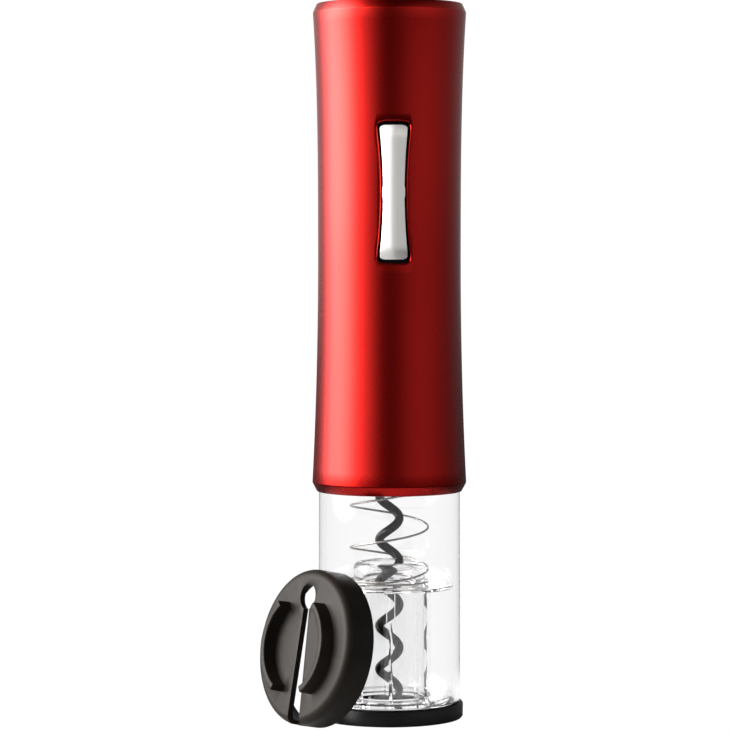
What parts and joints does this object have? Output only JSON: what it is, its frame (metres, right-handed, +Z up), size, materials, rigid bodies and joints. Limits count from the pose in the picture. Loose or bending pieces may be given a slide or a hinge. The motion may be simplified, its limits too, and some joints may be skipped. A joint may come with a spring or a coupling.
{
  "type": "electric wine opener",
  "caption": "Battery-powered wine opener: a waisted shell with a rocker switch over a clear tube, a driven worm, a sprung cork sleeve, and a separate foil cutter leaning on it.",
  "frame": {"origin": "centre of the footprint of the opener and the foil cutter together, on the surface that they stand on", "axes": "+Z up along the opener, -Y towards the side with the rocker switch"},
  "size_m": [0.0696, 0.0718, 0.24],
  "materials": {
    "shell_red": "satin metallic",
    "rocker_silver": "satin",
    "black_plastic": "fine matte",
    "cutter_plastic": "matte",
    "clear_plastic": "clear, polished",
    "black_coating": "non-stick coating",
    "bright_steel": "drawn",
    "frame_moulding": "moulded",
    "gear_nylon": "moulded",
    "gear_steel": "machined",
    "bronze": "sintered",
    "ferrite": "sintered",
    "board": "solder mask",
    "cell_sleeve": "printed film without text"
  },
  "bodies": {
    "housing": {"shell": "shell_red", "base_ring": "black_plastic", "clear_tube": "clear_plastic", "return_spring": "bright_steel", "gearbox_front_plate": "frame_moulding", "output_bush": "bronze", "ring_gear": "gear_nylon", "motor_plate": "bright_steel", "motor_can": "bright_steel", "motor_magnet_left": "ferrite", "motor_magnet_right": "ferrite", "motor_cap": "black_plastic", "frame_front": "frame_moulding", "frame_rear": "frame_moulding", "frame_screw_1": "bright_steel", "frame_screw_2": "bright_steel", "frame_screw_3": "bright_steel", "frame_screw_4": "bright_steel", "rocker_pin": "bright_steel", "switch_frame": "black_plastic", "circuit_board": "board", "switch_lower": "black_plastic", "switch_upper": "black_plastic", "battery_tray": "frame_moulding", "cell_1": "cell_sleeve", "cell_2": "cell_sleeve", "cell_3": "cell_sleeve", "cell_4": "cell_sleeve", "contact_lower_start": "bright_steel", "contact_lower_bridge": "bright_steel", "contact_lower_end": "bright_steel"},
    "battery_cap": {"battery_cap": "shell_red", "contact_upper_front": "bright_steel", "contact_upper_rear": "bright_steel"},
    "sleeve": {"cork_sleeve": "clear_plastic"},
    "worm_drive": {"worm": "black_coating", "output_carrier": "gear_steel", "chuck_collar": "bright_steel"},
    "first_carrier": {"first_carrier": "gear_steel", "second_sun": "gear_steel"},
    "rotor": {"motor_rotor": "gear_steel", "motor_pinion": "bronze"},
    "rocker": {"rocker_button": "rocker_silver"},
    "plunger_lower": {"plunger_lower": "bright_steel"},
    "plunger_upper": {"plunger_upper": "bright_steel"},
    "foil_cutter": {"cutter_body": "cutter_plastic", "cutter_pin_1": "bright_steel", "cutter_pin_2": "bright_steel", "cutter_pin_3": "bright_steel", "cutter_pin_4": "bright_steel"},
    "lower_planet_1": {"lower_planet_1": "gear_nylon"},
    "lower_planet_2": {"lower_planet_2": "gear_nylon"},
    "lower_planet_3": {"lower_planet_3": "gear_nylon"},
    "upper_planet_1": {"upper_planet_1": "gear_nylon"},
    "upper_planet_2": {"upper_planet_2": "gear_nylon"},
    "upper_planet_3": {"upper_planet_3": "gear_nylon"},
    "cutter_wheel_1": {"cutter_wheel_1": "bright_steel"},
    "cutter_wheel_2": {"cutter_wheel_2": "bright_steel"},
    "cutter_wheel_3": {"cutter_wheel_3": "bright_steel"},
    "cutter_wheel_4": {"cutter_wheel_4": "bright_steel"}
  },
  "joints": [
    {"name": "sleeve_slide", "type": "slide", "parent": "housing", "child": "sleeve", "axis": [0, 0, 1], "range_m": [0, 0.024], "stiffness_N_per_m": 60, "springref_m": -0.02, "deforming": ["return_spring"]},
    {"name": "worm_spin", "type": "hinge", "parent": "housing", "child": "worm_drive", "pos_m": [0.00885, 0.01, 0.089], "axis": [0, 0, 1], "continuous": true},
    {"name": "first_carrier_spin", "type": "hinge", "parent": "housing", "child": "first_carrier", "pos_m": [0.00885, 0.01, 0.098], "axis": [0, 0, 1], "continuous": true},
    {"name": "rotor_spin", "type": "hinge", "parent": "housing", "child": "rotor", "pos_m": [0.00885, 0.01, 0.12], "axis": [0, 0, 1], "continuous": true},
    {"name": "lower_planet_1_spin", "type": "hinge", "parent": "worm_drive", "child": "lower_planet_1", "pos_m": [0.01845, 0.01, 0.0943], "axis": [0, 0, 1], "continuous": true},
    {"name": "lower_planet_2_spin", "type": "hinge", "parent": "worm_drive", "child": "lower_planet_2", "pos_m": [0.00405, 0.01831, 0.0943], "axis": [0, 0, 1], "continuous": true},
    {"name": "lower_planet_3_spin", "type": "hinge", "parent": "worm_drive", "child": "lower_planet_3", "pos_m": [0.00405, 0.00169, 0.0943], "axis": [0, 0, 1], "continuous": true},
    {"name": "upper_planet_1_spin", "type": "hinge", "parent": "first_carrier", "child": "upper_planet_1", "pos_m": [0.01845, 0.01, 0.1026], "axis": [0, 0, 1], "continuous": true},
    {"name": "upper_planet_2_spin", "type": "hinge", "parent": "first_carrier", "child": "upper_planet_2", "pos_m": [0.00405, 0.01831, 0.1026], "axis": [0, 0, 1], "continuous": true},
    {"name": "upper_planet_3_spin", "type": "hinge", "parent": "first_carrier", "child": "upper_planet_3", "pos_m": [0.00405, 0.00169, 0.1026], "axis": [0, 0, 1], "continuous": true},
    {"name": "rocker_tilt", "type": "hinge", "parent": "housing", "child": "rocker", "pos_m": [0.00885, -0.0104, 0.1766], "axis": [1, 0, 0], "range_deg": [-3.5, 3.5], "stiffness_Nm_per_rad": 0.25},
    {"name": "plunger_lower_press", "type": "slide", "parent": "housing", "child": "plunger_lower", "axis": [0, 1, 0], "range_m": [-0.00075, 0.00075]},
    {"name": "plunger_upper_press", "type": "slide", "parent": "housing", "child": "plunger_upper", "axis": [0, 1, 0], "range_m": [-0.00075, 0.00075]},
    {"name": "battery_cap_lift", "type": "slide", "parent": "housing", "child": "battery_cap", "axis": [0, 0, 1], "range_m": [0, 0.02]},
    {"name": "foil_cutter_away", "type": "slide", "parent": "housing", "child": "foil_cutter", "axis": [-0.7694, -0.6388, 0], "range_m": [0, 0.06]},
    {"name": "cutter_wheel_1_spin", "type": "hinge", "parent": "foil_cutter", "child": "cutter_wheel_1", "pos_m": [-0.02505, 0.00287, 0.01741], "axis": [-0.828, -0.5254, 0.1959], "continuous": true},
    {"name": "cutter_wheel_2_spin", "type": "hinge", "parent": "foil_cutter", "child": "cutter_wheel_2", "pos_m": [-0.00571, -0.0267, 0.01983], "axis": [-0.828, -0.5254, 0.1959], "continuous": true},
    {"name": "cutter_wheel_3_spin", "type": "hinge", "parent": "foil_cutter", "child": "cutter_wheel_3", "pos_m": [-0.00389, -0.02436, 0.03383], "axis": [-0.828, -0.5254, 0.1959], "continuous": true},
    {"name": "cutter_wheel_4_spin", "type": "hinge", "parent": "foil_cutter", "child": "cutter_wheel_4", "pos_m": [-0.02323, 0.00521, 0.03141], "axis": [-0.828, -0.5254, 0.1959], "continuous": true}
  ],
  "couplings": [
    {"joint": "first_carrier_spin", "follows": "worm_spin", "ratio": 4},
    {"joint": "rotor_spin", "follows": "worm_spin", "ratio": 16},
    {"joint": "lower_planet_1_spin", "follows": "worm_spin", "ratio": -3},
    {"joint": "lower_planet_2_spin", "follows": "worm_spin", "ratio": -3},
    {"joint": "lower_planet_3_spin", "follows": "worm_spin", "ratio": -3},
    {"joint": "upper_planet_1_spin", "follows": "worm_spin", "ratio": -12},
    {"joint": "upper_planet_2_spin", "follows": "worm_spin", "ratio": -12},
    {"joint": "upper_planet_3_spin", "follows": "worm_spin", "ratio": -12},
    {"joint": "plunger_lower_press", "follows": "rocker_tilt", "m_per_rad": 0.012},
    {"joint": "plunger_upper_press", "follows": "rocker_tilt", "m_per_rad": -0.012}
  ]
}
